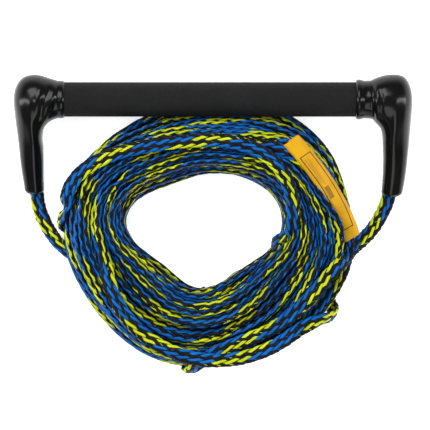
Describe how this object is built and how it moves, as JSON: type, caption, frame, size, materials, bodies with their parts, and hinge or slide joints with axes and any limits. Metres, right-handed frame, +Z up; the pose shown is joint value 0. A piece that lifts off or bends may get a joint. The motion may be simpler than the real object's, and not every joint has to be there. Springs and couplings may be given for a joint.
{
  "type": "tow rope handle",
  "caption": "Water-ski tow handle: foam-gripped bar with moulded elbow caps, and its braided tow line wound into one coil with the boat-end loop under it.",
  "frame": {"origin": "on the surface it rests on, under the middle of the handle's box", "axes": "+X along the bar towards the right cap, +Y from the coil towards the bar, +Z up"},
  "size_m": [0.3297, 0.2466, 0.0566],
  "materials": {
    "tube": "satin",
    "plug": "matte",
    "grip": "matt closed-cell foam rubber",
    "cap": "glossy moulded vinyl",
    "rope": "sixteen-strand braid, blue, yellow-green and charcoal",
    "label": "semi-gloss vinyl"
  },
  "bodies": {
    "coil": {"rope_coil": "rope", "bridle_leg_left": "rope", "bridle_leg_right": "rope", "tagged_turn": "rope", "tow_loop": "rope", "label_sleeve": "label"},
    "handle": {"core_tube": "tube", "end_plug_left": "plug", "end_plug_right": "plug", "grip_sleeve": "grip", "end_cap_left": "cap", "end_cap_right": "cap", "bridle_eye_left": "rope", "bridle_eye_right": "rope"}
  },
  "joints": [
    {"name": "handle_tilt", "type": "hinge", "parent": "coil", "child": "handle", "pos_m": [0, -0.0562, 0.0065], "axis": [1, 0, 0], "range_deg": [0, 75]}
  ]
}
